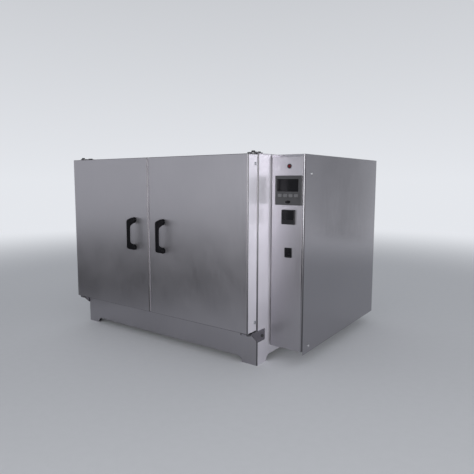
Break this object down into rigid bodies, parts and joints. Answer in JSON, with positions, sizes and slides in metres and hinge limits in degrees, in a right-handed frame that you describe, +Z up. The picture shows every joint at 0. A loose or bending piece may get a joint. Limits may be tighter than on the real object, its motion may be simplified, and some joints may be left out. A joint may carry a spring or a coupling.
{
  "type": "industrial oven",
  "caption": "Stainless hot-air oven with a pair of insulated side-hinged doors, a fan-heated chamber with wire shelves, and a control box on its right side.",
  "frame": {"origin": "on the floor, at the centre of the bounding box seen from above", "axes": "+X to the right of someone facing the doors, +Y from the doors to the back, +Z up"},
  "size_m": [1.0236, 0.879, 0.7155],
  "materials": {
    "stainless": "brushed stainless sheet",
    "inner_stainless": "satin stainless sheet",
    "zinc_sheet": "zinc-coated sheet",
    "bright_steel": "polished",
    "dark_steel": "blackened",
    "wire": "electropolished wire",
    "heater_sheath": "heat-darkened",
    "impeller_sheet": "satin",
    "motor_paint": "semi-gloss",
    "socket_steel": "machined",
    "wool": "mineral wool",
    "silicone": "matte",
    "dark_plastic": "fine grain",
    "window_plastic": "gloss",
    "key_plastic": "satin",
    "switch_plastic": "semi-gloss",
    "lamp_metal": "polished",
    "lamp_red": "clear red",
    "relay_aluminium": "anodised",
    "gland_plastic": "matte",
    "handle_plastic": "black, satin"
  },
  "bodies": {
    "cabinet": {"side_panel_left": "stainless", "side_panel_right": "stainless", "top_panel": "stainless", "front_apron": "stainless", "front_frame": "stainless", "control_cover": "stainless", "control_fascia": "stainless", "hinge_plates": "stainless", "hinge_bracket_left": "stainless", "hinge_bracket_right": "stainless", "chamber_liner": "inner_stainless", "duct_panel": "inner_stainless", "service_plate": "inner_stainless", "rack_left": "inner_stainless", "rack_right": "inner_stainless", "exhaust_tube": "inner_stainless", "rear_panel": "zinc_sheet", "base_pan": "zinc_sheet", "control_chassis": "zinc_sheet", "control_back": "zinc_sheet", "hinge_screws": "bright_steel", "panel_screws": "bright_steel", "temperature_probe": "bright_steel", "hinge_pins": "dark_steel", "door_magnets": "dark_steel", "heaters": "heater_sheath", "fan_motor": "motor_paint", "insulation": "wool", "controller_body": "dark_plastic", "limiter_body": "dark_plastic", "controller_window": "window_plastic", "limiter_window": "window_plastic", "rocker_bezel": "switch_plastic", "lamp_bezel": "lamp_metal", "lamp_lens": "lamp_red", "relay": "relay_aluminium", "cable_gland": "gland_plastic"},
    "right_door": {"door_skin_right": "stainless", "door_liner_right": "inner_stainless", "door_insulation_right": "wool", "door_gasket_right": "silicone", "handle_right": "handle_plastic", "pivot_sockets_right": "socket_steel", "door_screws_right": "bright_steel"},
    "left_door": {"door_skin_left": "stainless", "door_liner_left": "inner_stainless", "door_insulation_left": "wool", "door_gasket_left": "silicone", "handle_left": "handle_plastic", "pivot_sockets_left": "socket_steel", "door_screws_left": "bright_steel"},
    "fan": {"impeller": "impeller_sheet", "fan_shaft": "bright_steel"},
    "upper_shelf": {"upper_shelf": "wire"},
    "lower_shelf": {"lower_shelf": "wire"},
    "rocker": {"rocker": "switch_plastic"},
    "key_1": {"key_1": "key_plastic"},
    "key_2": {"key_2": "key_plastic"},
    "key_3": {"key_3": "key_plastic"},
    "key_4": {"key_4": "key_plastic"}
  },
  "joints": [
    {"name": "right_door_hinge", "type": "hinge", "parent": "cabinet", "child": "right_door", "pos_m": [0.37145, -0.3595, 0.1245], "axis": [0, 0, 1], "range_deg": [0, 105]},
    {"name": "left_door_hinge", "type": "hinge", "parent": "cabinet", "child": "left_door", "pos_m": [-0.49555, -0.3595, 0.1245], "axis": [0, 0, -1], "range_deg": [0, 105]},
    {"name": "fan_spin", "type": "hinge", "parent": "cabinet", "child": "fan", "pos_m": [0.29725, 0.0005, 0.4065], "axis": [1, 0, 0], "continuous": true},
    {"name": "upper_shelf_slide", "type": "slide", "parent": "cabinet", "child": "upper_shelf", "axis": [0, -1, 0], "range_m": [0, 0.055]},
    {"name": "lower_shelf_slide", "type": "slide", "parent": "cabinet", "child": "lower_shelf", "axis": [0, -1, 0], "range_m": [0, 0.055]},
    {"name": "mains_rocker", "type": "hinge", "parent": "cabinet", "child": "rocker", "pos_m": [0.45295, -0.2695, 0.383], "axis": [1, 0, 0], "range_deg": [0, 20]},
    {"name": "key_1_press", "type": "slide", "parent": "cabinet", "child": "key_1", "axis": [0, 1, 0], "range_m": [0, 0.0008], "stiffness_N_per_m": 800, "springref_m": -0.0005},
    {"name": "key_2_press", "type": "slide", "parent": "cabinet", "child": "key_2", "axis": [0, 1, 0], "range_m": [0, 0.0008], "stiffness_N_per_m": 800, "springref_m": -0.0005},
    {"name": "key_3_press", "type": "slide", "parent": "cabinet", "child": "key_3", "axis": [0, 1, 0], "range_m": [0, 0.0008], "stiffness_N_per_m": 800, "springref_m": -0.0005},
    {"name": "key_4_press", "type": "slide", "parent": "cabinet", "child": "key_4", "axis": [0, 1, 0], "range_m": [0, 0.0008], "stiffness_N_per_m": 800, "springref_m": -0.0005}
  ]
}
